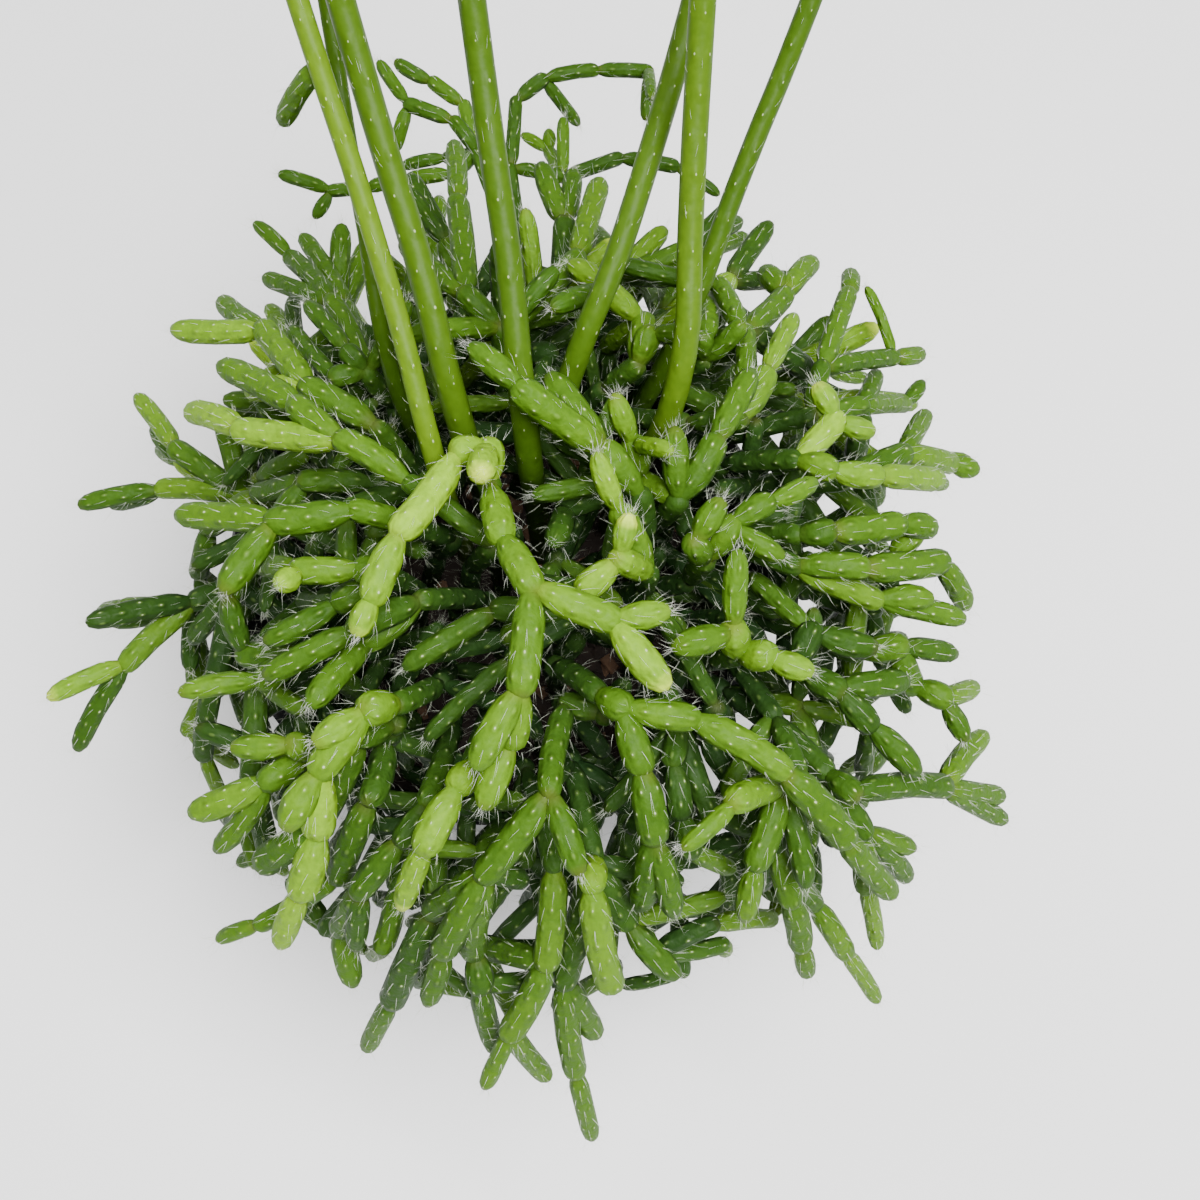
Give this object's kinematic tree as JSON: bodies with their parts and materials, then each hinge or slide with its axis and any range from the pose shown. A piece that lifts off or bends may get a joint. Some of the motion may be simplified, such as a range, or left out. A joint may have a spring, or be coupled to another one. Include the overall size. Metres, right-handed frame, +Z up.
{
  "type": "potted plant",
  "caption": "Potted Rhipsalis cereuscula: a dense hanging mound of short jointed cactus stems with long smooth shoots, in a round black nursery pot.",
  "frame": {"origin": "middle of the pot's flat underside", "axes": "+Z up, -Y towards the side that the picture was taken from, +X to that side's right"},
  "size_m": [0.164, 0.2143, 0.2293],
  "materials": {
    "pot": "black, slightly shiny thin plastic",
    "soil": "dark potting mix with bits of bark",
    "joints": "waxy green skin, dark inside the mound and yellow-green at the young ends",
    "shoots": "smooth waxy green skin"
  },
  "bodies": {
    "root": {"pot": "pot", "soil": "soil", "stem_shoot_left_bright": "shoots", "stem_shoot_left_broad": "shoots", "stem_shoot_middle": "shoots", "stem_shoot_right_bent": "shoots", "stem_shoot_right_upright": "shoots", "stem_shoot_right_dark": "shoots", "stem_shoot_left_thin": "shoots", "stem_front_centre": "joints", "stem_right_long": "joints", "stem_left_front": "joints", "stem_low_hanging": "joints", "stem_low_middle": "joints", "stem_low_front": "joints", "stem_low_left_bright": "joints", "stem_low_left": "joints", "stem_low_right_olive": "joints", "stem_left_long": "joints", "stem_left_hooked": "joints", "stem_upper_centre": "joints", "stem_top_right": "joints", "stem_right_far": "joints", "stem_centre_bright": "joints", "stem_centre_right": "joints", "stem_right_upright": "joints", "stem_right_lower": "joints", "stem_right_dark": "joints", "stem_right_olive": "joints", "stem_right_side_low": "joints", "stem_right_side": "joints", "stem_right_side_fresh": "joints", "stem_right_bright": "joints", "stem_right_upper_tips": "joints", "stem_right_top": "joints", "stem_right_top_bright": "joints", "stem_top_level": "joints", "stem_top_back_right": "joints", "stem_left_upper": "joints", "stem_left_round": "joints", "stem_left_grey": "joints", "stem_left_low": "joints", "stem_left_side": "joints", "stem_left_hanging": "joints", "stem_left_back": "joints", "stem_top_hairy": "joints", "stem_tuft_left": "joints", "stem_tuft_right": "joints", "stem_back_1": "joints", "stem_back_3": "joints", "stem_back_4": "joints", "stem_back_5": "joints", "stem_back_7": "joints", "stem_back_8": "joints", "stem_back_9": "joints", "stem_back_10": "joints", "stem_back_11": "joints", "stem_back_12": "joints"}
  },
  "joints": []
}
